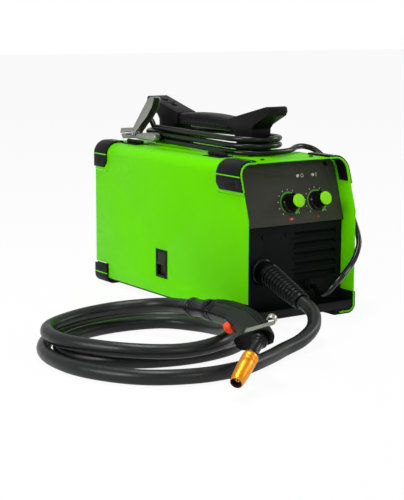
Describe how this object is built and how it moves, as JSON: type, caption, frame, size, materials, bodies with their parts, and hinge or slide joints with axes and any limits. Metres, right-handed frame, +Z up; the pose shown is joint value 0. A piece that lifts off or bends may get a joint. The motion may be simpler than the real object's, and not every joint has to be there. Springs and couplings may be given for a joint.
{
  "type": "wire feeder welding machine",
  "caption": "Portable flux-cored wire welder with wire feeder bay behind a side door, carry handle, fixed torch on a looped cable, and ground clamp stored on top.",
  "frame": {"origin": "on the floor under the middle of the case, at the underside of its feet", "axes": "+X to the right seen from the front, +Y to the rear, +Z up"},
  "size_m": [0.5798, 0.7496, 0.3285],
  "materials": {
    "green_paint": "bright green powder coat",
    "black_paint": "black powder coat",
    "black_plastic": "moulded black plastic",
    "grey_plastic": "dark grey plastic",
    "black_rubber": "soft black rubber",
    "steel": "zinc-plated steel",
    "cast_metal": "cast aluminium",
    "motor_metal": "grey painted motor",
    "nozzle_brass": "orange-gold brass",
    "copper": "copper alloy",
    "lamp_lens": "clear lamp lens",
    "red_plastic": "red plastic",
    "board": "circuit board"
  },
  "bodies": {
    "machine": {"base_pan": "black_paint", "case_cover": "green_paint", "rear_panel": "black_paint", "lower_front_panel": "black_paint", "control_panel": "black_paint", "centre_divider": "steel", "door_hinges": "black_paint", "top_corner_guards": "black_plastic", "base_corner_guards": "black_plastic", "guard_inlays": "green_paint", "case_screws": "steel", "carry_handle": "black_plastic", "handle_grip": "black_rubber", "potentiometers": "steel", "indicator_lamps": "lamp_lens", "torch_relief": "black_rubber", "torch_cable": "black_rubber", "torch_boot": "black_rubber", "torch_shell_left": "black_plastic", "torch_shell_right": "black_plastic", "torch_neck": "black_rubber", "torch_nozzle": "nozzle_brass", "contact_tip": "copper", "torch_hook": "steel", "ground_bushing": "black_plastic", "ground_lead": "black_rubber", "ground_coil": "black_rubber", "clamp_lower_lever": "steel", "clamp_pivot": "steel", "clamp_spring": "steel", "clamp_lug": "nozzle_brass", "spool_hub": "grey_plastic", "welding_wire": "steel", "feed_frame": "cast_metal", "feed_motor": "motor_metal", "fan_frame": "black_plastic", "inverter_board": "board", "power_gland": "black_plastic", "power_switch": "black_plastic"},
    "door": {"wire_door": "green_paint", "door_hinge_leaves": "black_paint", "latch_bezel": "black_plastic"},
    "latch": {"latch_slider": "grey_plastic"},
    "voltage_control": {"voltage_knob": "black_plastic", "voltage_cap": "green_paint"},
    "speed_control": {"speed_knob": "black_plastic", "speed_cap": "green_paint"},
    "rocker": {"switch_rocker": "red_plastic"},
    "spool": {"wire_spool": "grey_plastic", "wire_winding": "steel"},
    "spool_nut": {"hub_nut": "black_plastic"},
    "drive": {"drive_roll": "steel"},
    "arm": {"pressure_arm": "cast_metal"},
    "idler": {"idler_roll": "steel"},
    "tensioner": {"tension_screw": "steel", "tension_spring": "steel"},
    "tensioner_knob": {"tension_knob": "black_plastic"},
    "trigger": {"torch_trigger": "red_plastic"},
    "clamp_jaw": {"clamp_upper_lever": "steel"},
    "fan": {"fan_rotor": "black_plastic"}
  },
  "joints": [
    {"name": "door_hinge", "type": "hinge", "parent": "machine", "child": "door", "pos_m": [-0.066, 0, 0.247], "axis": [0, 1, 0], "range_deg": [0, 95]},
    {"name": "latch_slide", "type": "slide", "parent": "door", "child": "latch", "axis": [0, 0, -1], "range_m": [0, 0.008]},
    {"name": "voltage_knob_turn", "type": "hinge", "parent": "machine", "child": "voltage_control", "pos_m": [0.001, -0.1879, 0.1758], "axis": [0, -0.9549, 0.2969], "range_deg": [-135, 135]},
    {"name": "speed_knob_turn", "type": "hinge", "parent": "machine", "child": "speed_control", "pos_m": [0.0535, -0.1879, 0.1758], "axis": [0, -0.9549, 0.2969], "range_deg": [-135, 135]},
    {"name": "rocker_tilt", "type": "hinge", "parent": "machine", "child": "rocker", "pos_m": [0.066, 0.1905, 0.204], "axis": [1, 0, 0], "range_deg": [-8, 8]},
    {"name": "spool_spin", "type": "hinge", "parent": "machine", "child": "spool", "pos_m": [-0.057, 0.084, 0.124], "axis": [1, 0, 0], "continuous": true},
    {"name": "spool_nut_turn", "type": "hinge", "parent": "machine", "child": "spool_nut", "pos_m": [-0.09, 0.084, 0.124], "axis": [1, 0, 0], "continuous": true},
    {"name": "drive_roll_spin", "type": "hinge", "parent": "machine", "child": "drive", "pos_m": [-0.054, -0.08, 0.061], "axis": [1, 0, 0], "continuous": true},
    {"name": "tensioner_swing", "type": "hinge", "parent": "machine", "child": "tensioner", "pos_m": [-0.043, -0.113, 0.058], "axis": [1, 0, 0], "range_deg": [0, 58]},
    {"name": "pressure_arm_lift", "type": "hinge", "parent": "machine", "child": "arm", "pos_m": [-0.043, -0.047, 0.096], "axis": [-1, 0, 0], "range_deg": [0, 11.6]},
    {"name": "idler_roll_spin", "type": "hinge", "parent": "arm", "child": "idler", "pos_m": [-0.054, -0.08, 0.08775], "axis": [1, 0, 0], "continuous": true},
    {"name": "tension_knob_turn", "type": "hinge", "parent": "tensioner", "child": "tensioner_knob", "pos_m": [-0.043, -0.113, 0.125], "axis": [0, 0, 1], "continuous": true},
    {"name": "trigger_pull", "type": "slide", "parent": "machine", "child": "trigger", "axis": [0.7941, -0.3157, 0.5193], "range_m": [0, 0.003], "stiffness_N_per_m": 600},
    {"name": "clamp_jaw_open", "type": "hinge", "parent": "machine", "child": "clamp_jaw", "pos_m": [-0.0584, 0.16, 0.261], "axis": [1, 0, 0], "range_deg": [0, 25], "stiffness_Nm_per_rad": 2, "springref_deg": -5.73},
    {"name": "fan_spin", "type": "hinge", "parent": "machine", "child": "fan", "pos_m": [0.0405, 0.178, 0.13], "axis": [0, 1, 0], "continuous": true}
  ],
  "couplings": [
    {"joint": "idler_roll_spin", "follows": "drive_roll_spin", "ratio": -1.3636},
    {"joint": "pressure_arm_lift", "follows": "tensioner_swing", "ratio": 0.2}
  ]
}
